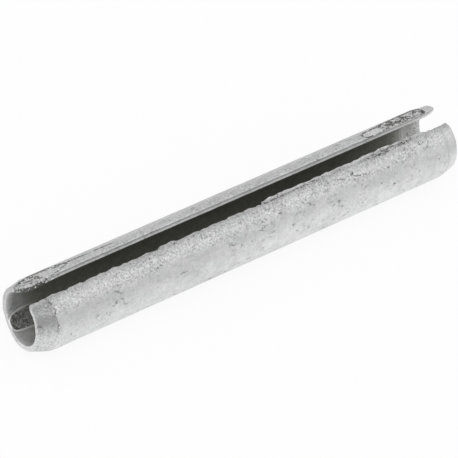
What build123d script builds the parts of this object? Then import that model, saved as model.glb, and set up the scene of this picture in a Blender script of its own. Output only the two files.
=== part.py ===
from build123d import *
import os

# Slotted spring pin of the light series: one strip of spring steel, rolled into a tube that stays
# open along one straight slot, with both ends swaged to a taper so that they start in the hole.
# Millimetres, in the free state, before the pin is driven in. The axis lies along X through the
# origin, at the middle of the length. The pin lies on its back, and the slot opens towards +Z.

FREE_DIAMETER = 8.65  # outside of the straight shank, about a twelfth over its 8 mm hole
WALL = 0.75  # thickness of the strip
LENGTH = 60.0  # end face to end face
SLOT_GAP = 2.3  # between the two parallel edges of the strip
TAPER_LENGTH = 2.1  # swaged lead at each end, measured along the axis
TIP_DIAMETER = 7.2  # outside of the end face
TIP_WALL = 0.5  # thickness left at the end face, where swaging draws the strip out
SHOULDER_BLEND = 1.2  # radius between the shank and the taper, outside and in the bore
STRIP_EDGE_ROUND = 0.12  # the strip's edges all round the two slot faces
TIP_ROUND_EXTRA = 0.05  # how much rounder the end face's own two edges are

SHANK_RADIUS = FREE_DIAMETER / 2
BORE_RADIUS = SHANK_RADIUS - WALL
TIP_RADIUS = TIP_DIAMETER / 2
TIP_BORE_RADIUS = TIP_RADIUS - TIP_WALL
END_X = LENGTH / 2
SHOULDER_X = END_X - TAPER_LENGTH
TIP_ROUND = min(STRIP_EDGE_ROUND + TIP_ROUND_EXTRA, 0.4 * TIP_WALL)  # leaves a flat between the two

NEAR_ZERO = 1e-4  # tells a point on a plane from one beside it


def surface_line(shank_radius, tip_radius):
    """Corners of one surface of the wall, from end face to end face: lead, straight run, lead."""
    return [
        (-END_X, tip_radius),
        (-SHOULDER_X, shank_radius),
        (SHOULDER_X, shank_radius),
        (END_X, tip_radius),
    ]


def corners_at(profile, distance):
    """The profile's corners that far from mid-length, at both ends."""
    return profile.vertices().filter_by(lambda v: abs(abs(v.X) - distance) < NEAR_ZERO)


def wall_profile():
    """Section of the wall on one side of the axis, with its shoulders blended and its tips rounded."""
    outside = surface_line(SHANK_RADIUS, TIP_RADIUS)
    bore = surface_line(BORE_RADIUS, TIP_BORE_RADIUS)
    profile = make_face(Polyline(*outside, *reversed(bore), close=True))
    profile = fillet(corners_at(profile, SHOULDER_X), SHOULDER_BLEND)
    return fillet(corners_at(profile, END_X), TIP_ROUND)


def closed_tube():
    """The swaged tube before its slot: the wall section turned round the axis."""
    return revolve(wall_profile(), Axis.X, 360)


def slot_cutter():
    """Straight slot from end to end: the gap between the strip's parallel edges."""
    depth = 2 * SHANK_RADIUS
    return Pos(0, 0, depth / 2) * Box(2 * LENGTH, SLOT_GAP, depth)


def slotted_pin():
    """The whole pin: the tube opened by its slot, with the strip's edges rolled over."""
    pin = closed_tube() - slot_cutter()
    slot_faces = pin.faces().filter_by(Axis.Y)
    return fillet(slot_faces.edges(), min(STRIP_EDGE_ROUND, 0.8 * TIP_ROUND))


os.makedirs("parts", exist_ok=True)
export_step(slotted_pin(), "parts/slotted_pin.step")
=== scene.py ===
"""A slotted spring pin of the light series, 8 by 60 mm: zinc-coated spring steel strip, rolled up.

The pin lies along X with its slot up. Lengths in the classes are millimetres and turn into metres
where a mesh is written. Angles round the pin are degrees from the middle of the slot, positive
towards the front (-Y) and negative towards the back (+Y).
"""

import itertools
import logging
from dataclasses import dataclass, field
from enum import Enum
from typing import Any, Sequence

import bpy
import numpy as np
from mathutils import Matrix, Vector


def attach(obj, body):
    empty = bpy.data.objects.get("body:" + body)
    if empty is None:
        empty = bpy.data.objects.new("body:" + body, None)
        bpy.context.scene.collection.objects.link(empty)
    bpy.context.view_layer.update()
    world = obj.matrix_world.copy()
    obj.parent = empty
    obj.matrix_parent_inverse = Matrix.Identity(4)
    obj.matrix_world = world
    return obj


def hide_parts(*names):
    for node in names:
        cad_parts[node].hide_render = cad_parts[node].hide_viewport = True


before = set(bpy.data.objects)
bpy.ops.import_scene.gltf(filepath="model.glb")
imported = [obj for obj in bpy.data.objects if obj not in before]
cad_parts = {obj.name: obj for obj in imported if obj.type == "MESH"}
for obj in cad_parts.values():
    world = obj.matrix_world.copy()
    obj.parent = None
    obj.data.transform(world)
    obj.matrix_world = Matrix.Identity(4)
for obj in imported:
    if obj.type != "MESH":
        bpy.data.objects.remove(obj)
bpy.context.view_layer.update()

Array = np.ndarray
Triple = tuple[float, float, float]
Colour = Triple
Span = tuple[float, float]
Knots = tuple[tuple[float, float], ...]

MM = 0.001
FINE_STEPS = 4001  # steps in which a curve is summed up
FAR_AWAY = 99.0  # millimetres, past every part of the skin
WHITE = (1.0, 1.0, 1.0, 1.0)
NODE = "slotted_pin"

log = logging.getLogger("slotted_pin")


class End(Enum):
    """The two ends of the pin, by the sign of X."""

    LEFT = -1
    RIGHT = 1


# -------------------------------------------------------------------------------- shapes of curves


def eased(values: Array, start: float, stop: float) -> Array:
    """Rises from 0 at start to 1 at stop along 3t^2 - 2t^3, or falls if stop is below start.

    Args:
        values: where to read the curve.
        start: the value at which it is 0.
        stop: the value at which it is 1.

    Returns:
        The eased share, in the shape of values.
    """
    share = np.clip((values - start) / (stop - start), 0.0, 1.0)
    return share * share * (3.0 - 2.0 * share)


def hump(values: Array, centre: float, reach: float) -> Array:
    """A bell of height 1 at centre: exp of minus the square of the distance over reach."""
    return np.exp(-(((values - centre) / reach) ** 2))


def plateau(values: Array, rise: Span, fall: Span) -> Array:
    """Rises from 0 to 1 over the first span and falls back to 0 over the second."""
    return eased(values, *rise) * (1 - eased(values, *fall))


def through(values: Array, knots: Knots) -> Array:
    """Straight pieces from knot to knot, level beyond the first and the last.

    Args:
        values: where to read the line.
        knots: pairs of place and height, by rising place.

    Returns:
        The heights, in the shape of values.
    """
    places, heights = zip(*knots)
    return np.interp(values, places, heights)


def crowded(start: float, stop: float, count: int, spots: Sequence[Triple]) -> Array:
    """Samples from start to stop that crowd round given spots.

    The density is 1 plus, for each spot, its gain times a bell round its centre. Samples lie at equal
    steps of the running total of that density.

    Args:
        start: the first sample.
        stop: the last sample.
        count: how many samples.
        spots: centre, reach and gain of each crowd.

    Returns:
        The samples, rising.
    """
    fine = np.linspace(start, stop, FINE_STEPS)
    density = 1.0 + sum(gain * hump(fine, centre, reach) for centre, reach, gain in spots)
    total = np.concatenate([[0.0], np.cumsum(0.5 * (density[1:] + density[:-1]))])
    return np.interp(np.linspace(0.0, total[-1], count), total, fine)


class Grain:
    """Smooth seeded noise in space, from -1 to 1.

    Random numbers sit on the corners of a cubic lattice that repeats. A point takes the mean of its
    cell's eight corners, weighted by 3t^2 - 2t^3 of its place in the cell along each axis.
    """

    CELLS = 48
    LAYER_SHIFT = 7.3
    LAYER_SHARE = 0.6

    def __init__(self, seed: int) -> None:
        """Draws the lattice.

        Args:
            seed: the same seed gives the same lattice.
        """
        self.lattice = np.random.default_rng(seed).uniform(-1.0, 1.0, (self.CELLS,) * 3)

    def at(self, points: Array, size: float | Sequence[float]) -> Array:
        """Reads the noise.

        Args:
            points: places in millimetres, with the three coordinates last.
            size: edge of a lattice cell in millimetres, or one edge for each axis.

        Returns:
            One number for each point.
        """
        scaled = points / np.asarray(size, float)
        low = np.floor(scaled).astype(int)
        share = scaled - low
        share = share * share * (3.0 - 2.0 * share)
        total = np.zeros(points.shape[:-1])
        for corner in itertools.product((0, 1), repeat=3):
            cell = (low + corner) % self.CELLS
            weight = np.where(corner, share, 1.0 - share).prod(axis=-1)
            total += weight * self.lattice[cell[..., 0], cell[..., 1], cell[..., 2]]
        return total

    def layered(self, points: Array, size: float, layers: int) -> Array:
        """Adds layers of the noise, each half the size and 0.6 of the height of the one before.

        Args:
            points: places in millimetres, with the three coordinates last.
            size: edge of a lattice cell of the first layer.
            layers: how many.

        Returns:
            One number for each point, from -1 to 1.
        """
        heights = [self.LAYER_SHARE**layer for layer in range(layers)]
        total = sum(h * self.at(points + self.LAYER_SHIFT * k, size / 2**k) for k, h in enumerate(heights))
        return total / sum(heights)


# ------------------------------------------------------------------------------- marks on the coat


@dataclass(frozen=True)
class Score:
    """A thin crack or scratch in the coat: a line through points (x in mm, angle in degrees)."""

    points: Knots
    half_width: float
    depth: float
    soot: float

    def nearness(self, x: Array, arc: Array, mm_per_degree: float) -> Array:
        """A bell across the line: exp of minus the square of the distance over the half width.

        Args:
            x: places along the pin in millimetres.
            arc: places round the skin in millimetres.
            mm_per_degree: length of a degree of skin.

        Returns:
            1 on the line, falling to 0 beside it.
        """
        nearest = np.full(np.broadcast(x, arc).shape, np.inf)
        for (xa, pa), (xb, pb) in zip(self.points, self.points[1:]):
            start = np.array([xa, pa * mm_per_degree])
            run = np.array([xb, pb * mm_per_degree]) - start
            along = ((x - start[0]) * run[0] + (arc - start[1]) * run[1]) / max(run @ run, 1e-9)
            along = np.clip(along, 0.0, 1.0)
            gap = np.hypot(x - start[0] - along * run[0], arc - start[1] - along * run[1])
            nearest = np.minimum(nearest, gap)
        return np.exp(-((nearest / self.half_width) ** 2))


@dataclass(frozen=True)
class Fleck:
    """A dark speck or small pit in the coat."""

    x: float
    angle: float
    radius: float
    soot: float


@dataclass(frozen=True)
class Flat:
    """A place where the rolls pressed the skin flat: a rounded patch with a sooty outline.

    Attributes:
        x_range: its ends along X.
        low_edge: knots of one long edge (x in mm, angle in degrees).
        high_edge: knots of the other long edge.
        corner: radius of its corners in millimetres.
        ramp: how far inside its outline it reaches its full depth.
        outline_soot: soot on its outline.
        soot_along: knots of the soot within it, along X.
        light: what it adds to the coat's brightness.
    """

    x_range: Span
    low_edge: Knots
    high_edge: Knots
    corner: float
    ramp: float
    outline_soot: float
    soot_along: Knots
    light: float

    def inset(self, x: Array, arc: Array, mm_per_degree: float) -> Array:
        """Distance inside the outline in millimetres, negative outside it.

        The distance to a rounded rectangle whose width changes along X: the larger of the two
        overhangs inside, and the length of the positive overhangs at a corner.

        Args:
            x: places along the pin in millimetres.
            arc: places round the skin in millimetres.
            mm_per_degree: length of a degree of skin.

        Returns:
            The distance at each place.
        """
        start, stop = self.x_range
        low = through(x, self.low_edge) * mm_per_degree
        high = through(x, self.high_edge) * mm_per_degree
        over_x = np.abs(x - (start + stop) / 2) - (stop - start) / 2 + self.corner
        over_arc = np.abs(arc - (low + high) / 2) - (high - low) / 2 + self.corner
        outside = np.hypot(np.maximum(over_x, 0.0), np.maximum(over_arc, 0.0))
        return self.corner - outside - np.minimum(np.maximum(over_x, over_arc), 0.0)


# ------------------------------------------------------------------------------------- node sheets


@dataclass(frozen=True)
class Cloud:
    """Settings of a cloud of noise: the size of its lumps in millimetres, its layers and roughness."""

    size: float
    detail: float
    roughness: float


class Signal:
    """A number that varies over a surface: a node's output that takes +, - and *."""

    def __init__(self, sheet: "NodeSheet", socket: bpy.types.NodeSocket) -> None:
        """Wraps one output socket.

        Args:
            sheet: the sheet that adds the Math nodes.
            socket: the output.
        """
        self.sheet = sheet
        self.socket = socket

    def _math(self, operation: str, left: Any, right: Any) -> "Signal":
        """Adds one Math node."""
        node = self.sheet.node("ShaderNodeMath", {"operation": operation}, {0: left, 1: right})
        return Signal(self.sheet, node.outputs[0])

    def __add__(self, other: Any) -> "Signal":
        """Sum."""
        return self._math("ADD", self, other)

    def __radd__(self, other: Any) -> "Signal":
        """Sum, with the signal second."""
        return self._math("ADD", other, self)

    def __sub__(self, other: Any) -> "Signal":
        """Difference."""
        return self._math("SUBTRACT", self, other)

    def __rsub__(self, other: Any) -> "Signal":
        """Difference, with the signal second."""
        return self._math("SUBTRACT", other, self)

    def __mul__(self, other: Any) -> "Signal":
        """Product."""
        return self._math("MULTIPLY", self, other)

    def __rmul__(self, other: Any) -> "Signal":
        """Product, with the signal second."""
        return self._math("MULTIPLY", other, self)

    def at_least(self, other: Any) -> "Signal":
        """The larger of the two."""
        return self._math("MAXIMUM", self, other)

    def at_most(self, other: Any) -> "Signal":
        """The smaller of the two."""
        return self._math("MINIMUM", self, other)

    def clipped(self) -> "Signal":
        """Kept between 0 and 1."""
        return self.at_least(0.0).at_most(1.0)

    def step(self, start: float, stop: float) -> "Signal":
        """Rises smoothly from 0 at start to 1 at stop."""
        node = self.sheet.node(
            "ShaderNodeMapRange",
            {"interpolation_type": "SMOOTHSTEP", "clamp": True},
            {"Value": self, "From Min": start, "From Max": stop},
        )
        return Signal(self.sheet, node.outputs[0])


class NodeSheet:
    """The nodes of one material or world."""

    def __init__(self, tree: bpy.types.NodeTree) -> None:
        """Empties the tree.

        Args:
            tree: the node tree to fill.
        """
        self.tree = tree
        tree.nodes.clear()

    def node(
        self,
        kind: str,
        settings: dict[str, Any] | None = None,
        sockets: dict[int | str, Any] | None = None,
    ) -> bpy.types.Node:
        """Adds any node.

        Args:
            kind: the node's type.
            settings: properties to set first.
            sockets: a value, a Signal or an output for each input.

        Returns:
            The new node.
        """
        node = self.tree.nodes.new(kind)
        for name, value in (settings or {}).items():
            setattr(node, name, value)
        for name, value in (sockets or {}).items():
            target = node.inputs[name]
            if isinstance(value, Signal):
                self.tree.links.new(value.socket, target)
            elif isinstance(value, bpy.types.NodeSocket):
                self.tree.links.new(value, target)
            else:
                target.default_value = value
        return node

    def attribute(self, name: str) -> Signal:
        """Reads a number that the mesh carries."""
        node = self.node("ShaderNodeAttribute", {"attribute_name": name})
        return Signal(self, node.outputs["Fac"])

    def rays(self) -> tuple[Signal, Signal, Signal]:
        """What a ray is, as 0 or 1: the camera's, a mirrored one, or one that came through glass."""
        outputs = self.node("ShaderNodeLightPath").outputs
        return tuple(Signal(self, outputs[f"Is {kind} Ray"]) for kind in ("Camera", "Glossy", "Transmission"))

    def place_mm(self, stretch: Triple = (1.0, 1.0, 1.0)) -> bpy.types.NodeSocket:
        """Object coordinates in millimetres.

        Args:
            stretch: what each axis is multiplied by.

        Returns:
            The coordinates.
        """
        coords = self.node("ShaderNodeTexCoord").outputs["Object"]
        scale = tuple(s / MM for s in stretch)
        return self.node("ShaderNodeMapping", None, {"Vector": coords, "Scale": scale}).outputs[0]

    def cloud(self, place: bpy.types.NodeSocket, cloud: Cloud) -> Signal:
        """Noise from 0 to 1.

        Args:
            place: the coordinates in millimetres.
            cloud: its settings.

        Returns:
            The noise.
        """
        sockets = {
            "Vector": place,
            "Scale": 1.0 / cloud.size,
            "Detail": cloud.detail,
            "Roughness": cloud.roughness,
        }
        return Signal(self, self.node("ShaderNodeTexNoise", None, sockets).outputs["Fac"])

    def cells(self, place: bpy.types.NodeSocket, size: float) -> Signal:
        """Distance to the nearest seed of a random cell pattern, cells of a given size in millimetres."""
        sockets = {"Vector": place, "Scale": 1.0 / size}
        return Signal(self, self.node("ShaderNodeTexVoronoi", None, sockets).outputs["Distance"])

    def blend(self, share: Any, first: Any, second: Any) -> bpy.types.NodeSocket:
        """Mixes two colours."""
        sockets = {0: share, 6: self._rgba(first), 7: self._rgba(second)}
        return self.node("ShaderNodeMix", {"data_type": "RGBA"}, sockets).outputs[2]

    def dimmed(self, colour: bpy.types.NodeSocket | Colour, share: Signal) -> bpy.types.NodeSocket:
        """A colour times a number."""
        sockets = {0: colour, "Scale": share}
        return self.node("ShaderNodeVectorMath", {"operation": "SCALE"}, sockets).outputs[0]

    @staticmethod
    def _rgba(colour: Any) -> Any:
        """A plain colour with its alpha, or the socket as it is."""
        return (*colour, 1.0) if isinstance(colour, tuple) else colour


@dataclass(frozen=True)
class ZincCoat:
    """Dull zinc on spring steel: pale and mottled outside, gritty by the slot, painted dark in the bore for
    its shade.
    """

    cool: Colour = (0.560, 0.585, 0.578)
    warm: Colour = (0.608, 0.590, 0.596)
    soot: Colour = (0.095, 0.096, 0.091)
    # the bore's colour is painted shade: dark where little light gets in
    bore: Colour = (0.200, 0.203, 0.178)
    darkest: float = 0.06
    metal: float = 0.60
    dull: float = 0.46
    relief: float = 0.030
    streak: Triple = (0.55, 1.0, 1.0)
    patches: Cloud = Cloud(3.4, 3.0, 0.5)
    tint: Cloud = Cloud(1.3, 3.0, 0.6)
    mottle: Cloud = Cloud(0.80, 5.0, 0.62)
    grit: Cloud = Cloud(0.20, 3.0, 0.75)
    pits: Cloud = Cloud(0.30, 2.0, 0.6)
    strokes: Cloud = Cloud(0.38, 2.0, 0.6)
    crowds: Cloud = Cloud(2.3, 2.0, 0.5)
    smears: Cloud = Cloud(0.42, 3.0, 0.65)
    pebble: float = 0.31

    def make(self) -> bpy.types.Material:
        """Builds the material.

        Returns:
            The material, which reads the mesh's numbers soot, speckle, inside, light and chalk.
        """
        material = bpy.data.materials.new("zinc_coat")
        material.use_nodes = True
        sheet = NodeSheet(material.node_tree)
        place = sheet.place_mm()
        soot, speckle = sheet.attribute("soot"), sheet.attribute("speckle")
        # inside is the bore's painted shade; light carries painted light and shade besides the coat's own
        # tone
        inside, light = sheet.attribute("inside"), sheet.attribute("light")
        chalk = sheet.attribute("chalk")

        patches, tint = sheet.cloud(place, self.patches), sheet.cloud(place, self.tint)
        mottle, grit = sheet.cloud(place, self.mottle), sheet.cloud(place, self.grit)
        pebbles = sheet.cells(place, self.pebble)
        pits = sheet.cloud(place, self.pits).step(0.58, 0.70)
        crowds = sheet.cloud(place, self.crowds).step(0.50, 0.66)
        smears = sheet.cloud(sheet.place_mm(self.streak), self.smears).step(0.54, 0.66) * crowds
        lumps = sheet.cloud(place, self.strokes)
        specks = lumps.step(0.53, 0.62)
        ridge = (lumps - 0.5) * 10.0
        strokes = (1.0 - ridge.at_least(0.0 - ridge)).clipped()

        tone = 1.0 + (mottle - 0.5) * (0.52 - speckle * 0.10) + (patches - 0.5) * (0.30 - speckle * 0.16)
        tone = tone + (grit - 0.5) * (0.50 + speckle * 1.45) + (0.45 - pebbles) * speckle * 0.34
        tone = tone - pits * (0.05 + speckle * 0.36) - smears * 0.46
        tone = tone - strokes * (crowds * 0.07 + speckle * 0.15)

        grime = soot * 0.28 + soot.at_most(1.0) * (strokes * 0.95 - specks * 0.70)
        grime = grime + (soot - 1.0).at_least(0.0) * 0.9 + (grit - 0.5) * 1.1 + (mottle - 0.5) * 0.4
        grime = grime.step(0.26, 0.85)

        skin = sheet.blend((tint * 1.6 - 0.3 + speckle * 0.05).clipped(), self.cool, self.warm)
        # the colour is scaled by light, which holds painted light and shade
        skin = sheet.dimmed(skin, (tone * light).at_least(self.darkest))
        # the bore's painted shade, which the inside mask fades out towards the mouths
        lining = sheet.dimmed(self.bore, 0.25 + mottle * 0.6 + grit * 1.0)
        colour = sheet.blend(grime, sheet.blend(inside, skin, lining), self.soot)

        height = grit * (0.30 + speckle * 0.70) - pebbles * speckle * 0.5 + mottle * 0.6 - smears * 0.3
        height = height - strokes * (0.2 + speckle * 0.4) - grime * 0.5
        bump = sheet.node(
            "ShaderNodeBump", None, {"Strength": 1.0, "Distance": self.relief * MM, "Height": height}
        )
        shader = sheet.node(
            "ShaderNodeBsdfPrincipled",
            None,
            {
                "Base Color": colour,
                "Metallic": ((1.0 - grime * 0.6 - inside * 0.5 - chalk * 0.9) * self.metal).clipped(),
                "Roughness": (self.dull + mottle * 0.2 + grime * 0.2 + inside * 0.1).clipped(),
                "Normal": bump.outputs[0],
            },
        )
        sheet.node("ShaderNodeOutputMaterial", None, {"Surface": shader.outputs[0]})
        return material


@dataclass(frozen=True)
class FloorPaper:
    """White paper that keeps a soft shadow: its own grey, and how far the camera sees it lifted."""

    paper: float = 0.92
    lift: float = 0.88

    def make(self) -> bpy.types.Material:
        """Builds the material: plain paper, lifted to white for what the camera and metal see.

        Returns:
            The material.
        """
        material = bpy.data.materials.new("floor_paper")
        material.use_nodes = True
        sheet = NodeSheet(material.node_tree)
        camera, glossy, through_glass = sheet.rays()
        seen = (camera * self.lift + glossy + through_glass).clipped()
        plain = sheet.node("ShaderNodeBsdfDiffuse", None, {"Color": (self.paper,) * 3 + (1.0,)})
        white = sheet.node("ShaderNodeEmission", None, {"Color": WHITE, "Strength": 1.0})
        mixed = sheet.node(
            "ShaderNodeMixShader", None, {0: seen, 1: plain.outputs[0], 2: white.outputs[0]}
        )
        sheet.node("ShaderNodeOutputMaterial", None, {"Surface": mixed.outputs[0]})
        return material


# ---------------------------------------------------------------------------------------- the coat


@dataclass(frozen=True)
class SkinPoints:
    """Where the points of the surface lie before the coat's relief.

    Attributes:
        x: places along the pin in millimetres.
        signed: degrees from the middle of the slot, front positive.
        points: places in space in millimetres, with the three coordinates last.
        level: share of the wall, 0 outside and 1 in the bore.
        outer: 1 on the outside.
        inner: 1 in the bore.
        lip: 1 on the lips' faces.
        tip_share: 0 on the shank and 1 at the tips.
        front_edge: angle of the front lip.
        radius: of the skin, in millimetres.
    """

    x: Array
    signed: Array
    points: Array
    level: Array
    outer: Array
    inner: Array
    lip: Array
    tip_share: Array
    front_edge: Array
    radius: float

    @property
    def mm_per_degree(self) -> float:
        """Length of a degree of skin."""
        return np.pi / 180 * self.radius

    @property
    def arc(self) -> Array:
        """The angles as lengths of skin."""
        return self.signed * self.mm_per_degree

    @property
    def full_turn(self) -> Array:
        """The angles from 0 to 360."""
        return np.where(self.signed < 0, self.signed + 360.0, self.signed)


@dataclass(frozen=True)
class LipBand:
    """The ragged band along the front lip.

    Attributes:
        rolled: 1 along the stretch where a flake of coat leans into the slot.
        beside: degrees away from the lip.
        bead: the rounded edge.
        groove: the cracks that run along it.
    """

    rolled: Array
    beside: Array
    bead: Array
    groove: Array


@dataclass
class CoatLayer:
    """What the coat adds at each point.

    Attributes:
        height: millimetres over the plain section.
        soot: black dirt, from 0 to 2.
        speckle: how gritty the coat looks.
        inside: 1 where it is the oily lining of the bore.
        light: how bright it is, 1 for plain.
        chalk: 1 where it is dull and not metallic.
    """

    height: Array
    soot: Array
    # inside: 1 where the bore is painted dark for its shade, less towards its mouths.
    speckle: Array
    inside: Array
    # light: how bright it is, 1 for plain, with painted light and shade in it.
    light: Array
    chalk: Array

    def blacken(self, soot: Array) -> None:
        """Keeps the larger of the soot that is there and the soot that comes."""
        self.soot = np.maximum(self.soot, soot)

    def numbers(self) -> dict[str, Array]:
        """What the finish reads, by name."""
        return {name: getattr(self, name) for name in ("soot", "speckle", "inside", "light", "chalk")}


@dataclass(frozen=True)
class WornCoat:
    """The zinc coat as rolling, dirt and wear left it, with painted light and shade: its relief, and what its
    finish reads.

    The outside is gently lumpy, gritty in a band along the front lip, pressed flat in two places by
    the back lip, cracked along the scores and pitted at the flecks. Spans and knots are millimetres
    along X or degrees from the slot, as named.
    """

    grain: Grain
    scatter_seed: int
    scatter_count: int = 70
    flake_x: tuple[Span, Span] = ((1.92, 2.12), (25.0, 26.5))
    shoulder_x: tuple[Span, Span] = ((26.8, 27.7), (28.2, 28.9))
    far_shoulder_x: float = 28.35
    far_lead_x: Span = (27.6, 28.6)
    near_lead_x: Span = (26.6, 28.4)
    near_lead_angles: tuple[Span, Span] = ((56.0, 72.0), (120.0, 150.0))
    lead_dark_angles: tuple[Span, Span] = ((18.0, 25.0), (46.0, 84.0))
    fleck_depth: float = 0.018
    lip_light: float = 0.94
    # painted highlight on the far tip's rim
    far_rim_highlight: float = 1.05
    flats: tuple[Flat, ...] = (
        Flat(
            x_range=(19.2, 28.35),
            low_edge=((19.2, -33.0), (23.0, -40.0), (28.4, -46.0)),
            high_edge=((19.2, -15.5), (22.5, -13.5), (25.5, -7.5), (27.5, -8.0), (28.4, -14.0)),
            corner=0.65,
            ramp=0.5,
            outline_soot=1.6,
            soot_along=((19.2, 0.08), (21.4, 0.18), (22.2, 0.70), (23.5, 1.0), (28.4, 1.0)),
            light=0.16,
        ),
        Flat(
            x_range=(-30.6, -22.8),
            low_edge=((-30.0, -30.0), (-28.6, -42.0), (-24.8, -43.0), (-22.8, -35.0)),
            high_edge=((-30.0, -9.5), (-28.0, -11.0), (-26.0, -14.0), (-24.4, -19.0), (-22.8, -28.0)),
            corner=0.25,
            ramp=0.4,
            outline_soot=1.4,
            soot_along=(
                (-30.0, 0.52), (-28.6, 0.50), (-27.2, 0.70), (-26.2, 0.56), (-25.0, 0.36), (-22.8, 0.1),
            ),
            light=0.05,
        ),
    )
    tongue: Flat = Flat(
        x_range=(-29.75, -24.5),
        low_edge=((-29.7, 202.0), (-24.5, 200.0)),
        high_edge=((-29.7, 234.0), (-24.5, 236.0)),
        corner=0.85,
        ramp=0.4,
        outline_soot=1.5,
        soot_along=((-29.7, 0.65), (-28.4, 0.8), (-25.0, 1.0)),
        light=-0.30,
    )
    scores: tuple[Score, ...] = (
        Score(
            (
                (11.7, 28.0), (12.9, 32.5), (13.7, 36.0), (14.3, 33.5), (14.8, 36.5), (15.4, 39.0),
                (16.9, 41.0),
            ),
            half_width=0.11, depth=0.05, soot=1.15,
        ),
        Score(((-24.3, -35.0), (-22.0, -33.5), (-19.0, -32.5), (-16.5, -32.0)), 0.16, 0.03, 1.7),
        Score(((-29.4, -33.0), (-28.6, -40.0), (-26.5, -43.5), (-24.4, -43.0)), 0.26, 0.04, 2.0),
        Score(((22.4, -40.5), (23.5, -42.5), (26.0, -44.5), (28.3, -46.0)), 0.24, 0.04, 1.9),
        Score(
            ((-28.0, 18.0), (-27.8, 30.0), (-27.6, 41.0), (-27.9, 52.0), (-27.7, 66.0), (-28.0, 80.0)),
            half_width=0.22, depth=0.05, soot=0.85,
        ),
        Score(
            ((16.7, 20.2), (18.6, 20.8), (20.0, 21.4), (21.4, 21.0), (23.0, 20.2), (24.8, 19.8)),
            half_width=0.13, depth=0.05, soot=1.45,
        ),
        Score(((19.4, 17.2), (20.6, 17.4), (22.4, 17.2), (24.2, 17.0)), 0.12, 0.03, 1.25),
        Score(
            ((2.1, 18.3), (3.9, 18.7), (5.6, 18.8), (7.3, 18.5), (9.4, 17.2), (10.9, 16.6)),
            half_width=0.10, depth=0.04, soot=1.45,
        ),
        Score(((0.3, 55.0), (0.8, 52.0), (1.7, 50.5)), 0.14, 0.03, 1.0),
        Score(((14.4, 76.0), (14.8, 86.0), (15.4, 97.0)), 0.12, 0.03, 0.9),
        Score(((8.3, 88.0), (8.8, 100.0)), 0.12, 0.03, 0.8),
        # a faint dark line along the far shoulder, part of its painted shade line
        Score(((28.3, 20.0), (28.45, 45.0), (28.35, 70.0), (28.3, 95.0)), 0.14, 0.02, 0.55),
    )
    flecks: tuple[Fleck, ...] = (
        Fleck(-26.0, 90.0, 0.22, 0.45), Fleck(-21.3, 79.0, 0.20, 0.40), Fleck(-13.6, 36.0, 0.18, 0.5),
        Fleck(-13.3, 40.0, 0.22, 0.5), Fleck(-13.8, 44.0, 0.18, 0.45), Fleck(-11.5, 44.0, 0.20, 0.5),
        Fleck(-3.0, 44.0, 0.20, 0.45), Fleck(-1.0, 65.0, 0.18, 0.40), Fleck(0.8, 57.0, 0.20, 0.45),
        Fleck(5.1, 69.0, 0.28, 0.45), Fleck(7.6, 47.0, 0.24, 0.55), Fleck(8.2, 51.0, 0.26, 0.5),
        Fleck(8.8, 70.0, 0.18, 0.4), Fleck(18.1, 64.0, 0.20, 0.45), Fleck(20.0, 76.0, 0.22, 0.5),
        Fleck(21.3, 75.0, 0.20, 0.45), Fleck(19.5, 44.0, 0.24, 0.4), Fleck(14.5, 31.0, 0.30, 0.5),
        Fleck(24.8, 30.0, 0.26, 0.45), Fleck(25.8, 33.0, 0.24, 0.45),
    )
    # painted light and shade by the angle round the pin: brighter low down like a reflection of the floor, a
    # dip at 46 to 60 degrees, and darker towards the front lip, partly the gritty band's own duller tone
    painted_light_by_angle: Knots = (
        (-180.0, 1.10), (-100.0, 1.00), (-52.0, 0.93), (-46.0, 0.96), (-40.0, 1.01), (-33.0, 0.95),
        (-26.0, 0.90), (-22.0, 0.92), (-18.0, 0.99), (-13.0, 0.96),
        (13.0, 0.67), (19.0, 0.69), (21.0, 0.79), (24.0, 0.87), (28.0, 0.95), (34.0, 1.05), (40.0, 1.0),
        (46.0, 0.93), (54.0, 0.88), (60.0, 0.93), (70.0, 1.10), (80.0, 1.20), (90.0, 1.27), (112.0, 1.28),
        (150.0, 1.16), (180.0, 1.10),
    )
    # painted highlight on the near tip's rim, by the angle round the pin
    near_rim_highlight: Knots = (
        (15.0, 1.10), (90.0, 1.20), (150.0, 1.35), (200.0, 1.20), (250.0, 1.02), (345.0, 0.98),
    )

    def cover(self, at: SkinPoints) -> CoatLayer:
        """Lays the coat and makes its marks, one after the other.

        Args:
            at: the points of the surface.

        Returns:
            What the coat adds there.
        """
        gritty, band = self.grittiness(at), self.lip_band(at)
        # near_mouth and far_mouth lift the bore's painted shade towards its mouths, as painted light
        near_mouth = eased(-at.x, 24.9, 30.0)
        far_mouth = eased(at.x, 23.0, 30.3) ** 2
        lining = np.clip(at.inner + at.lip * eased(at.level, 0.80, 1.0), 0.0, 1.0)
        chalky_lip = at.lip * (1 - eased(at.level, 0.75, 1.0))
        layer = CoatLayer(
            height=self.lumps(at, gritty, band),
            soot=1.10 * at.outer * band.groove,
            speckle=np.clip(gritty * at.outer + 0.5 * at.inner * eased(at.x, 22.5, 27.0), 0.0, 1.0),
            inside=lining * (1 - 0.95 * np.maximum(near_mouth, far_mouth)),
            light=self.painted_light_and_tone(at, band),
            chalk=np.clip(chalky_lip + at.inner * near_mouth, 0.0, 1.0),
        )
        self.pit(at, layer)
        self.crack(at, layer)
        for flat in self.flats:
            self.press(flat, at, layer)
        self.foul_bore(at, layer)
        self.paint_lip_faces(at, layer)
        layer.soot = np.clip(layer.soot, 0.0, 2.0)
        return layer

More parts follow.
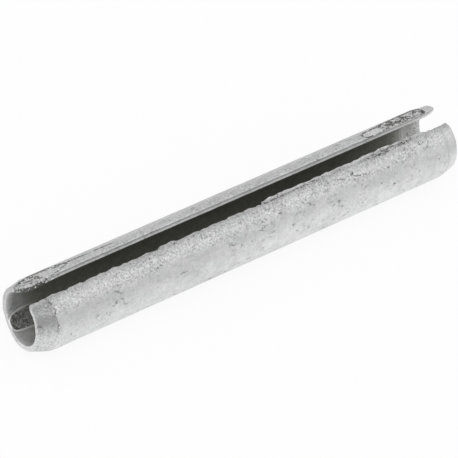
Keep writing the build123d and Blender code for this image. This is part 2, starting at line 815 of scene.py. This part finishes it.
    def grittiness(self, at: SkinPoints) -> Array:
        """How gritty the coat is, from 0 to 1.

        Most in a band in front of the slot, less on both sides of the slot and on the near lead, and
        little on the far lead. A slow noise moves the edges of these places.

        Args:
            at: the points of the surface.

        Returns:
            The share.
        """
        moved = at.signed + 4.0 * self.grain.at(at.points, 2.6)
        band = eased(at.signed, 17.5, 21.0) * (1 - eased(moved, 40.0, 52.0)) * (1 - 0.6 * at.tip_share)
        band = band * (0.75 + 0.35 * self.grain.at(at.points + 9.0, 1.7))
        by_slot = 0.60 * (1 - eased(np.abs(moved), 30.0, 60.0))
        gritty = np.maximum(band, by_slot) * (1 - 0.65 * eased(at.x, *self.far_lead_x))
        lead = eased(-at.x, *self.near_lead_x) * plateau(at.signed, *self.near_lead_angles)
        return np.maximum(gritty, 0.85 * lead * (0.8 + 0.5 * self.grain.at(at.points + 5.0, 1.1)))

    def lip_band(self, at: SkinPoints) -> LipBand:
        """The bead and the long cracks beside the front lip.

        The bead is a bell 2.5 degrees from the lip. Two cracks are bells 5.4 and 8 degrees from it,
        and a third lies at 2.2 degrees where no flake leans in. A noise breaks them up.

        Args:
            at: the points of the surface.

        Returns:
            The band.
        """
        rolled = plateau(at.x, *self.flake_x)
        beside = at.signed - at.front_edge + 0.9 * self.grain.at(at.points * (1.0, 0.0, 0.0), 1.3)
        in_front = at.signed > 0
        groove = 0.8 * hump(beside, 5.4, 0.7) + 0.6 * hump(beside, 8.0, 0.8)
        groove = groove + (1 - rolled) * 0.5 * hump(beside, 2.2, 1.0)
        broken = np.clip(0.55 + 0.6 * self.grain.at(at.points + 12.0, 0.7), 0.15, 1.0)
        groove = groove * in_front * (0.45 + 0.55 * rolled) * broken
        return LipBand(rolled, beside, hump(beside, 2.5, 1.9) * in_front, groove)

    def lumps(self, at: SkinPoints, gritty: Array, band: LipBand) -> Array:
        """Height of the coat before its marks.

        Outside it is two slow swells, grit, the bead and cracks by the front lip, and fine wrinkles
        round both shoulders. In the bore it is a low swell.

        Args:
            at: the points of the surface.
            gritty: how gritty the coat is there.
            band: the band along the front lip.

        Returns:
            The height in millimetres.
        """
        swell = 0.014 * self.grain.at(at.points, 3.6) + 0.008 * self.grain.at(at.points + 4.0, 1.2)
        grit = (0.003 + 0.014 * gritty) * self.grain.layered(at.points + 8.0, 0.55, 2)
        edge = (0.030 * band.rolled + 0.006) * band.bead - 0.030 * band.groove
        wrinkled = plateau(np.abs(at.x), *self.shoulder_x) * np.where(at.x > 0, 0.55, 1.0)
        wrinkles = wrinkled * 0.020 * self.grain.at(at.points, (0.35, 0.9, 0.9))
        lining = 0.010 * self.grain.layered(at.points + 2.0, 1.6, 2)
        return at.outer * (swell + grit + edge + wrinkles) + at.inner * lining

    def painted_light_and_tone(self, at: SkinPoints, band: LipBand) -> Array:
        """How bright the coat is before its marks: painted light and shade, with some of its own tone.

        Outside it goes by the angle, as painted light and shade, has painted highlights on the bead and
        its edge, is darker on a patch of the near lead and low on the near tip, and has a painted shade
        line along the far shoulder. Elsewhere it starts from one level; in the bore it has painted shade
        in the middle and low by the near mouth, and painted light towards both mouths.

        Args:
            at: the points of the surface.
            band: the band along the front lip.

        Returns:
            The brightness, 1 for plain.
        """
        x, signed, outer, inner = at.x, at.signed, at.outer, at.inner
        # a darker patch on the near lead
        lead_darkening = outer * plateau(signed, *self.lead_dark_angles) * eased(-x, 27.4, 28.1)
        # painted highlights on the front lip's edge and on its bead
        edge = outer * (signed > 0) * hump(band.beside, 0.5, 0.9) * (1 - at.tip_share)
        light = through(signed, self.painted_light_by_angle) + 0.26 * outer * band.bead * band.rolled
        light = light - 0.36 * lead_darkening + (0.16 + 0.16 * band.rolled) * edge
        light = np.where(outer > 0.5, light, self.lip_light)

        # painted light towards the bore's mouths, painted shade in its middle and low by the near mouth
        light = light + inner * (0.75 * eased(x, 24.0, 28.5) - 0.22 * (1 - eased(np.abs(x), 24.0, 28.0)))
        light = light + inner * 0.30 * eased(-x, 28.2, 29.9)
        light = light - inner * 0.34 * eased(-x, 24.0, 27.0) * hump(signed, 105.0, 45.0)
        light = light - 0.10 * outer * eased(-x, 28.0, 28.8) * eased(signed, 60.0, 75.0)
        # painted shade line along the far shoulder
        return light - 0.11 * outer * hump(x, self.far_shoulder_x, 0.20) * eased(signed, 14.0, 20.0)

    def pit(self, at: SkinPoints, layer: CoatLayer) -> None:
        """Sinks each fleck as a small sooty bell.

        Args:
            at: the points of the surface.
            layer: the coat, which is changed.
        """
        arc = at.arc
        uneven = 1.1 + 0.6 * self.grain.at(at.points, 0.22)
        for fleck in self.all_flecks():
            round_back = (np.abs(at.signed - fleck.angle) > 180) * FAR_AWAY
            away = np.hypot(at.x - fleck.x, arc - fleck.angle * at.mm_per_degree + round_back)
            dot = at.outer * hump(away, 0.0, fleck.radius) * uneven
            layer.blacken(2.0 * fleck.soot * dot)
            layer.height -= self.fleck_depth * dot

    def crack(self, at: SkinPoints, layer: CoatLayer) -> None:
        """Cuts each score, unevenly along its run.

        Args:
            at: the points of the surface.
            layer: the coat, which is changed.
        """
        arc = at.arc
        uneven = 0.75 + 0.35 * self.grain.at(at.points + 1.0, 0.5)
        for score in self.scores:
            near = at.outer * score.nearness(at.x, arc, at.mm_per_degree) * uneven
            layer.blacken(score.soot * near)
            layer.height -= score.depth * near

    def press(self, flat: Flat, at: SkinPoints, layer: CoatLayer) -> None:
        """Presses one flat into the skin and soots it.

        Across the flat the skin follows the chord: the radius times the cosine of the flat's half
        angle over the cosine of the angle from its middle, less the radius. A low rim stands round
        it and its face is rough.

        Args:
            flat: the flat.
            at: the points of the surface.
            layer: the coat, which is changed.
        """
        low, high = through(at.x, flat.low_edge), through(at.x, flat.high_edge)
        half = (high - low) / 2
        off = np.radians(np.clip(at.signed - (low + high) / 2, -half, half))
        chord = at.radius * (np.cos(np.radians(half)) / np.cos(off) - 1.0)
        inset = flat.inset(at.x, at.arc, at.mm_per_degree)
        within = eased(inset, -0.02, 0.16) * at.outer
        sunk = eased(inset, 0.0, flat.ramp) * at.outer
        lumps = self.grain.layered(at.points + 3.0, 0.55, 2)
        layer.height += sunk * np.minimum(chord, 0.0) * 0.9 + within * (0.030 * lumps - 0.012)
        layer.height += at.outer * 0.030 * hump(inset, -0.10, 0.12)
        layer.blacken(within * through(at.x, flat.soot_along) * np.clip(0.95 + 1.2 * lumps, 0.2, 1.5))
        layer.blacken(at.outer * flat.outline_soot * hump(inset, 0.06, 0.15) * (1.0 + 0.5 * lumps))
        layer.light += flat.light * at.outer * eased(inset, 0.0, 0.12)

    def foul_bore(self, at: SkinPoints, layer: CoatLayer) -> None:
        """Lays the rough sooty tongue in the near mouth of the bore, with a pale raised rim.

        Args:
            at: the points of the surface.
            layer: the coat, which is changed.
        """
        tongue = self.tongue
        inset = tongue.inset(at.x, at.full_turn * at.mm_per_degree, at.mm_per_degree)
        patch = at.inner * eased(inset, -0.05, 0.12)
        mottled = np.clip(0.9 + 1.2 * self.grain.layered(at.points + 6.0, 0.5, 2), 0.2, 1.5)
        layer.blacken(patch * through(at.x, tongue.soot_along) * mottled)
        layer.blacken(at.inner * tongue.outline_soot * hump(inset, 0.10, 0.12))
        layer.height += at.inner * 0.05 * hump(inset, -0.10, 0.12) - patch * 0.04
        layer.light += at.inner * (1.1 * hump(inset, -0.16, 0.13) - 0.30 * hump(inset, -0.42, 0.14))
        layer.light += tongue.light * patch

    def paint_lip_faces(self, at: SkinPoints, layer: CoatLayer) -> None:
        """Paints light on the lips' faces, with a painted shade line under the undercut and near soot on the
        back one.

        Args:
            at: the points of the surface.
            layer: the coat, which is changed.
        """
        back = at.lip * (at.signed < 0)
        undercut = back * hump(at.level, 0.26, 0.17)
        layer.blacken(1.5 * back * eased(-at.x, 25.0, 27.0))
        layer.height -= 0.035 * undercut
        # painted light on the lips' faces, most towards the bore, and more on the back one
        layer.light += at.lip * (0.50 * eased(at.level, 0.35, 0.75) - 0.05) + 0.08 * back
        # painted shade under the back lip's overhanging bead
        layer.light -= 0.31 * undercut

    def brighten_rims(self, at: SkinPoints, layer: CoatLayer, rim_share: Array) -> None:
        """Paints highlights on the tips' rims, save beside the back lip, lifts the bore's painted shade there
        and makes them dull.

        Args:
            at: the points of the surface.
            layer: the coat, which is changed.
            rim_share: 0 on the skin and 1 on the end face.
        """
        rim = rim_share * (1 - (at.signed < 0) * (1 - eased(-at.signed, 18.0, 30.0)))
        # painted highlight on the rims: by the angle at the near end, one level at the far end
        rim_highlight = np.where(at.x < 0, through(at.full_turn, self.near_rim_highlight), self.far_rim_highlight)
        layer.light = layer.light * (1 - rim) + rim_highlight * rim
        layer.inside = layer.inside * (1 - eased(rim, 0.0, 0.4))
        layer.chalk = np.clip(layer.chalk + rim, 0.0, 1.0)

    def all_flecks(self) -> list[Fleck]:
        """The known flecks and a seeded scatter of the same kind over the rest of the skin.

        Returns:
            All of them, the known ones first.
        """
        rng = np.random.default_rng(self.scatter_seed)
        places = zip(
            rng.uniform(-27.0, 27.0, self.scatter_count),
            rng.uniform(95.0, 310.0, self.scatter_count),
            rng.uniform(0.12, 0.28, self.scatter_count),
            rng.uniform(0.25, 0.55, self.scatter_count),
        )
        scattered = [Fleck(x, a if a < 180 else a - 360, r, s) for x, a, r, s in places]
        return [*self.flecks, *scattered]


# ----------------------------------------------------------------------------------------- the pin


@dataclass
class SlottedPin:
    """The rolled and coated strip, as one closed mesh.

    The section is a C: a loop that starts half-way down the front lip, goes over the outside to the
    back lip, and comes back through the bore. It is carried along X through stations that crowd at
    the ends. The tips' knots are angles round the pin and shares of the skin's radius; the lips'
    knots are X and angles from the middle of the slot.
    """

    skin_radius: float = 4.290
    wall: float = 0.71
    half_length: float = 29.985
    lip_round: float = 0.13
    top: float = 4.125  # no part of the coat stands higher
    top_blend: float = 0.02
    tip_round: float = 0.14
    tip_squash: float = 0.9  # depth of the tip's rounding over its length
    tip_wall: float = 0.62
    taper_softness: float = 0.16
    slot_edge: float = 15.5  # degrees from the slot at which the tips' angles begin
    bore_edge: float = 15.4  # degrees from the slot, towards which the front lip evens out in the bore
    steepest_lip: float = 0.9  # largest sine of the back lip's angle
    stations: int = 300
    tip_stations: int = 6
    outside_samples: int = 146
    lip_samples: int = 5
    corner_samples: int = 5
    seed: int = 11
    station_crowds: tuple[Triple, ...] = (
        (-29.845, 4.5, 0.9), (29.845, 6.5, 0.8), (2.0, 0.5, 2.5),
    )
    sample_crowds: tuple[Triple, ...] = ((0.06, 0.09, 0.7), (0.955, 0.05, 1.1))
    taper_start: dict[End, float] = field(default_factory=lambda: {End.LEFT: 27.95, End.RIGHT: 28.15})
    tips: dict[End, Knots] = field(
        default_factory=lambda: {
            End.LEFT: (
                (15.0, 0.850), (39.0, 0.826), (61.0, 0.790), (84.0, 0.778), (108.0, 0.788), (133.0, 0.808),
                (151.0, 0.824), (170.0, 0.845), (186.0, 0.853), (204.0, 0.822), (220.0, 0.775),
                (238.0, 0.752), (252.0, 0.766), (267.0, 0.798), (282.0, 0.836), (305.0, 0.890),
                (329.0, 0.944), (345.0, 0.968),
            ),
            End.RIGHT: (
                (15.0, 0.930), (45.0, 0.920), (90.0, 0.910), (120.0, 0.885), (150.0, 0.860), (190.0, 0.830),
                (210.0, 0.800), (235.0, 0.775), (255.0, 0.780), (270.0, 0.805), (300.0, 0.900),
                (326.0, 0.980), (345.0, 0.985),
            ),
        }
    )
    front_lip: Knots = (
        (-30.0, 11.0), (-29.2, 12.6), (-28.3, 15.2), (-26.0, 16.5), (-23.0, 16.9), (-20.0, 16.1),
        (-17.0, 16.8), (-14.2, 16.5), (-12.9, 17.1), (-12.3, 14.1), (-11.2, 14.7), (-10.0, 16.5),
        (-7.0, 16.2), (-4.0, 16.7), (-1.0, 16.3), (1.92, 17.3), (2.08, 12.5), (4.5, 12.1), (7.0, 12.4),
        (8.0, 12.9), (12.0, 12.5), (13.5, 11.7), (15.0, 13.1), (18.0, 11.8), (20.0, 11.5), (22.0, 12.5),
        (24.5, 12.9), (25.8, 13.8), (26.4, 17.0), (28.2, 16.9), (29.2, 15.4), (30.0, 14.8),
    )
    back_lip: Knots = (
        (-30.0, 25.0), (-29.6, 19.0), (-29.1, 14.5), (-28.2, 11.8), (-26.0, 14.0), (-24.0, 15.4),
        (-20.0, 16.1), (-10.0, 15.9), (10.0, 15.7), (27.0, 15.2), (28.2, 15.8), (29.0, 16.6), (30.0, 20.0),
    )

    def build(self) -> bpy.types.Object:
        """Works out the skin and writes the mesh.

        Returns:
            The pin's object, at the origin.
        """
        grid, numbers = self.skin()
        vertices = grid.reshape(-1, 3) * MM
        mesh = bpy.data.meshes.new("rolled_strip")
        mesh.from_pydata(vertices.tolist(), [], self.faces(*grid.shape[:2]))
        mesh.polygons.foreach_set("use_smooth", np.ones(len(mesh.polygons), bool))
        for name, values in numbers.items():
            layer = mesh.attributes.new(name, "FLOAT", "POINT")
            layer.data.foreach_set("value", values.reshape(-1).astype(np.float32))
        mesh.validate()
        mesh.update()
        piece = bpy.data.objects.new("rolled_strip", mesh)
        bpy.context.scene.collection.objects.link(piece)
        return piece

    def dress(self, piece: bpy.types.Object, finish: ZincCoat) -> None:
        """Gives the pin its finish and its place in the frame.

        Args:
            piece: the pin's object.
            finish: the coat.
        """
        piece.data.materials.append(finish.make())
        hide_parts(NODE)
        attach(piece, "root")

    def section_loop(self) -> dict[str, Array]:
        """The C section as a loop of samples.

        Each sample has its place as shares and roundings: along the strip it is "along" times the
        strip's run plus "along_round" times the lip rounding, and into the wall it is "deep" times
        the wall plus "deep_round" times that rounding. "out_along" and "out_deep" are its outward
        direction. The inner half is the outer half mirrored in the middle of the wall.

        Returns:
            The six arrays, by name.
        """
        face = np.linspace(0.5, 0.0, self.lip_samples, endpoint=False)
        turn = np.linspace(np.pi / 2, 0.0, self.corner_samples)
        even = np.linspace(0.0, 1.0, self.outside_samples + 2)[1:-1]
        crowded_run = crowded(0.0, 1.0, FINE_STEPS, self.sample_crowds)
        share = np.interp(even, np.linspace(0.0, 1.0, FINE_STEPS), crowded_run)
        zero, one = np.zeros, np.ones
        front = {
            "along": np.concatenate([zero(face.size), zero(turn.size)]),
            "along_round": np.concatenate([zero(face.size), 1 - np.sin(turn)]),
            "deep": np.concatenate([face, zero(turn.size)]),
            "deep_round": np.concatenate([1 - 2 * face, 1 - np.cos(turn)]),
            "out_along": np.concatenate([-one(face.size), -np.sin(turn)]),
            "out_deep": np.concatenate([zero(face.size), -np.cos(turn)]),
        }
        middle = {
            "along": share,
            "along_round": 1 - 2 * share,
            "deep": zero(share.size),
            "deep_round": zero(share.size),
            "out_along": zero(share.size),
            "out_deep": -one(share.size),
        }
        flips = {"along": (1, -1), "along_round": (0, -1), "out_along": (0, -1)}
        outer = {}
        for name, values in front.items():
            base, sign = flips.get(name, (0, 1))
            outer[name] = np.concatenate([values, middle[name], (base + sign * values)[::-1]])
        inner = {name: values[1:-1][::-1] for name, values in outer.items()}
        inner["deep"] = 1 - inner["deep"]
        inner["deep_round"] = -inner["deep_round"]
        inner["out_deep"] = -inner["out_deep"]
        return {name: np.concatenate([outer[name], inner[name]]) for name in outer}

    def station_lines(self) -> tuple[Array, Array]:
        """Stations along the pin, and how far the section is drawn in at each.

        The last few stations of each end go round the tip: along a quarter circle the section is
        drawn in by its radius times 1 - cos, a little squashed, while X runs by its radius times sin.

        Returns:
            The stations in millimetres, and the inset in millimetres.
        """
        turn = np.linspace(0.0, np.pi / 2, self.tip_stations)
        tip_x = self.half_length - self.tip_round * (1 - np.sin(turn))
        tip_inset = self.tip_round * (1 - np.cos(turn)) * self.tip_squash
        flat_end = self.half_length - self.tip_round
        straight_count = self.stations - 2 * turn.size + 2
        straight = crowded(-flat_end, flat_end, straight_count, self.station_crowds)[1:-1]
        x = np.concatenate([-tip_x[::-1], straight, tip_x])
        inset = np.concatenate([tip_inset[::-1], np.zeros(straight.size), tip_inset])
        return x, inset

    def drawn_in(self, x: Array) -> dict[End, Array]:
        """How far each swaged end has been drawn in, from 0 on the shank to 1 at the tip.

        A soft ramp: half of q plus the root of q squared and a small square, where q is the share
        of the taper that x has passed, scaled to end at 1.

        Args:
            x: stations.

        Returns:
            The share for each end.
        """
        soft = self.taper_softness
        drawn = {}
        for end in End:
            start = self.taper_start[end]
            share = (x * end.value - start) / (self.half_length - start)
            ramp = 0.5 * (share + np.sqrt(share**2 + soft**2))
            drawn[end] = ramp / (0.5 * (1 + np.sqrt(1 + soft**2)))
        return drawn

    def skin(self) -> tuple[Array, dict[str, Array]]:
        """The whole surface: the C section carried along the stations, then the relief of the coat.

        Returns:
            The points as stations by loop samples by 3, and the numbers that the finish reads.
        """
        loop = {name: values[None, :] for name, values in self.section_loop().items()}
        x, inset = (values[:, None] for values in self.station_lines())
        grain = Grain(self.seed)
        at, outward = self.plain_skin(loop, x, inset, grain)
        coat = WornCoat(grain, self.seed + 1)
        layer = coat.cover(at)
        coat.brighten_rims(at, layer, inset / inset.max())

        points = at.points + layer.height[..., None] * outward
        points[..., 0] -= self.tip_wear(at, points, grain)
        points[..., 2] = self.under_top(points[..., 2])
        return points, layer.numbers()

    def plain_skin(
        self, loop: dict[str, Array], x: Array, inset: Array, grain: Grain
    ) -> tuple[SkinPoints, Array]:
        """Carries the C section along the stations, through the tapers and between the lips.

        Args:
            loop: the section's samples.
            x: the stations.
            inset: how far the section is drawn in at each station.
            grain: the noise.

        Returns:
            The points, and the outward direction at each.
        """
        drawn = self.drawn_in(x)
        around = np.radians(self.slot_edge + loop["along"] * (360.0 - 2 * self.slot_edge)) + 0 * x
        radius = np.full_like(around, self.skin_radius)
        wall = np.full_like(around, self.wall)
        for end, share in drawn.items():
            tip = through(np.degrees(around), self.tips[end])
            radius = radius - self.skin_radius * (1 - tip) * share
            wall = wall - (self.wall - self.tip_wall) * share
        deep = loop["deep"] * wall + loop["deep_round"] * self.lip_round - loop["out_deep"] * inset
        r = radius - deep
        level = np.clip(deep / wall, 0.0, 1.0)

        front, back = self.lip_offsets(x, level, grain)
        front_angle = np.arcsin(front / r)
        back_angle = np.arcsin(np.minimum(back / r, self.steepest_lip))
        run = (2 * np.pi - front_angle - back_angle) * r
        along = loop["along"] * run + loop["along_round"] * self.lip_round - loop["out_along"] * inset
        angle = front_angle + along / r

        full = np.zeros_like(angle)
        outer = np.maximum(-loop["out_deep"], 0.0) + full
        inner = np.maximum(loop["out_deep"], 0.0) + full
        at = SkinPoints(
            x=x + full,
            signed=np.degrees(np.where(angle > np.pi, angle - 2 * np.pi, angle)),
            points=np.stack([x + full, -r * np.sin(angle), r * np.cos(angle)], axis=-1),
            level=level,
            outer=outer,
            inner=inner,
            lip=np.abs(loop["out_along"]) * (1 - outer) * (1 - inner),
            tip_share=drawn[End.LEFT] + drawn[End.RIGHT],
            front_edge=through(x, self.front_lip) + full,
            radius=self.skin_radius,
        )
        radial = np.stack([full, -np.sin(angle), np.cos(angle)], axis=-1)
        tangent = np.stack([full, -np.cos(angle), -np.sin(angle)], axis=-1)
        return at, -loop["out_deep"][..., None] * radial + loop["out_along"][..., None] * tangent

    def lip_offsets(self, x: Array, level: Array, grain: Grain) -> tuple[Array, Array]:
        """Distance of each lip from the middle plane of the slot, in millimetres.

        The front lip follows its knots and is ragged with beads of coat, most at the outer edge.
        The back lip is straight with a slight waver, and leans in towards the bore.

        Args:
            x: stations.
            level: share of the wall, 0 outside and 1 in the bore.
            grain: the noise.

        Returns:
            The front and the back offset.
        """
        line = np.stack([x, 0 * x + 3.1, 0 * x + 9.7], axis=-1)
        beads = 0.075 * grain.at(line, 1.1) + 0.120 * grain.at(line + 5.0, 0.46)
        knotted, straight = self.offset_at(through(x, self.front_lip)), self.offset_at(self.bore_edge)
        front = straight + (knotted - straight + beads) * (1 - 0.7 * level)
        waver = 0.015 * grain.at(line + 11.0, 2.0) + 0.010 * grain.at(line + 2.0, 0.5)
        back = self.offset_at(through(x, self.back_lip)) + waver - 0.11 * level
        return front, back

    def offset_at(self, degrees: Array | float) -> Array:
        """Distance from the slot's middle plane to the skin at an angle: radius times its sine."""
        return self.skin_radius * np.sin(np.radians(degrees))

    def tip_wear(self, at: SkinPoints, points: Array, grain: Grain) -> Array:
        """How far the ragged tips fall short of the full length, and the far lips' worn corners.

        Args:
            at: the points of the plain section.
            points: the points with the coat's relief.
            grain: the noise.

        Returns:
            The shift to take from X, in millimetres.
        """
        ring = points * np.array([0.0, 1.0, 1.0])
        ragged = 0.07 + 0.05 * grain.at(ring, 1.1) + 0.03 * grain.at(ring + 3.0, 0.4)
        near_tip = eased(np.abs(at.x), self.half_length - 0.9, self.half_length)
        corners = 0.30 * hump(at.signed, -14.0, 6.0) * eased(at.x, 28.6, 30.0)
        corners += 0.30 * hump(at.signed, 13.0, 8.0) * eased(at.x, 29.0, 30.0)
        return np.sign(at.x) * near_tip * np.clip(ragged, 0.0, 0.3) + corners

    def under_top(self, z: Array) -> Array:
        """Keeps Z under the top: the top less b times log(1 + exp((top - z) / b)), with b the blend."""
        return self.top - self.top_blend * np.log1p(np.exp((self.top - z) / self.top_blend))

    @staticmethod
    def faces(rows: int, columns: int) -> list[tuple[int, ...]]:
        """Quads round and along the skin, and caps that join the outside to the bore at each tip.

        Sample j of a loop and sample columns - j face each other across the wall, so the quads
        (j, j + 1, columns - j - 1, columns - j) close a tip, with a triangle at each lip.

        Args:
            rows: stations.
            columns: samples in the loop.

        Returns:
            The faces, outward.
        """
        row = np.arange(rows - 1)[:, None] * columns
        here = np.arange(columns)[None, :]
        after = (here + 1) % columns
        skin = np.stack([row + here, row + columns + here, row + columns + after, row + after], axis=-1)
        half = columns // 2
        j = np.arange(1, half - 1)
        cap = np.stack([j, j + 1, columns - j - 1, columns - j], axis=-1)
        ends = [(0, 1, columns - 1), (half, half + 1, half - 1)]
        last = (rows - 1) * columns
        near = [tuple(f) for f in cap.tolist()] + ends
        far = [tuple(last + v for v in reversed(f)) for f in near]
        return [tuple(f) for f in skin.reshape(-1, 4).tolist()] + near + far


# -------------------------------------------------------------------------------------- the studio


@dataclass(frozen=True)
class Softbox:
    """A square area light that looks at the pin: its place and size in metres, its power in watts."""

    name: str
    place: Triple
    size: float
    power: float


@dataclass
class Studio:
    """Floor, soft light, white surroundings and the camera.

    The floor is metres. The camera's aim and distance, its lens and its sensor are millimetres.
    """

    floor_half: float = 1.6
    surround: float = 0.80
    softboxes: tuple[Softbox, ...] = (
        Softbox("key_above_left", (-0.35, -0.25, 0.75), 0.60, 1.5),
        Softbox("fill_front_right", (0.55, -0.60, 0.40), 0.70, 0.8),
    )
    aim: Triple = (-0.685, 0.303, -0.279)
    sight: Triple = (0.50497, 0.48508, -0.71386)
    image_up: Triple = (0.34770, 0.64250, 0.68260)
    distance: float = 407.1
    lens: float = 280.98
    sensor: float = 36.0
    clip: Span = (0.01, 10.0)

    def build(self, lowest: float) -> None:
        """Builds everything round the pin.

        Args:
            lowest: height of the pin's lowest point in metres, where the floor lies.
        """
        self.lay_floor(lowest)
        self.light()
        self.set_camera()

    def lay_floor(self, lowest: float) -> None:
        """Lays a square of paper under the pin.

        Args:
            lowest: its height in metres.
        """
        half = self.floor_half
        corners = [(-half, -half, lowest), (half, -half, lowest), (half, half, lowest), (-half, half, lowest)]
        mesh = bpy.data.meshes.new("floor")
        mesh.from_pydata(corners, [], [(0, 1, 2, 3)])
        floor = bpy.data.objects.new("floor", mesh)
        bpy.context.scene.collection.objects.link(floor)
        mesh.materials.append(FloorPaper().make())

    def light(self) -> None:
        """Hangs the softboxes and sets the surroundings: white to camera and metal, plainer to light."""
        for box in self.softboxes:
            data = bpy.data.lights.new(box.name, "AREA")
            data.shape, data.size, data.energy = "SQUARE", box.size, box.power
            lamp = bpy.data.objects.new(box.name, data)
            lamp.location = box.place
            lamp.rotation_euler = (-Vector(box.place)).to_track_quat("-Z", "Y").to_euler()
            bpy.context.scene.collection.objects.link(lamp)
        world = bpy.data.worlds.new("surroundings")
        world.use_nodes = True
        bpy.context.scene.world = world
        sheet = NodeSheet(world.node_tree)
        camera, glossy, through_glass = sheet.rays()
        seen = (camera + glossy + through_glass).clipped()
        strength = seen * (1.0 - self.surround) + self.surround
        white = sheet.node("ShaderNodeBackground", None, {"Color": WHITE, "Strength": strength})
        sheet.node("ShaderNodeOutputWorld", None, {"Surface": white.outputs[0]})

    def set_camera(self) -> None:
        """Places the camera: back along its line of sight from the aim, with its picture's up as given."""
        data = bpy.data.cameras.new("camera")
        data.sensor_width, data.lens = self.sensor, self.lens
        data.clip_start, data.clip_end = self.clip
        camera = bpy.data.objects.new("camera", data)
        bpy.context.scene.collection.objects.link(camera)
        sight = Vector(self.sight).normalized()
        right = sight.cross(Vector(self.image_up)).normalized()
        up = right.cross(sight)
        turn = Matrix((right, up, -sight)).transposed().to_4x4()
        place = (Vector(self.aim) - sight * self.distance) * MM
        camera.matrix_world = Matrix.Translation(place) @ turn
        bpy.context.scene.camera = camera
        bpy.context.scene.view_settings.view_transform = "Standard"


def main() -> None:
    """Builds the pin and the studio."""
    logging.basicConfig(level=logging.INFO, format="%(name)s: %(message)s")
    pin = SlottedPin()
    piece = pin.build()
    pin.dress(piece, ZincCoat())
    log.info("rolled strip: %d faces", len(piece.data.polygons))
    lowest = min(corner[2] for corner in piece.bound_box)
    Studio().build(lowest)
    log.info("studio: floor at %.4f m", lowest)


if __name__ == "__main__":
    main()
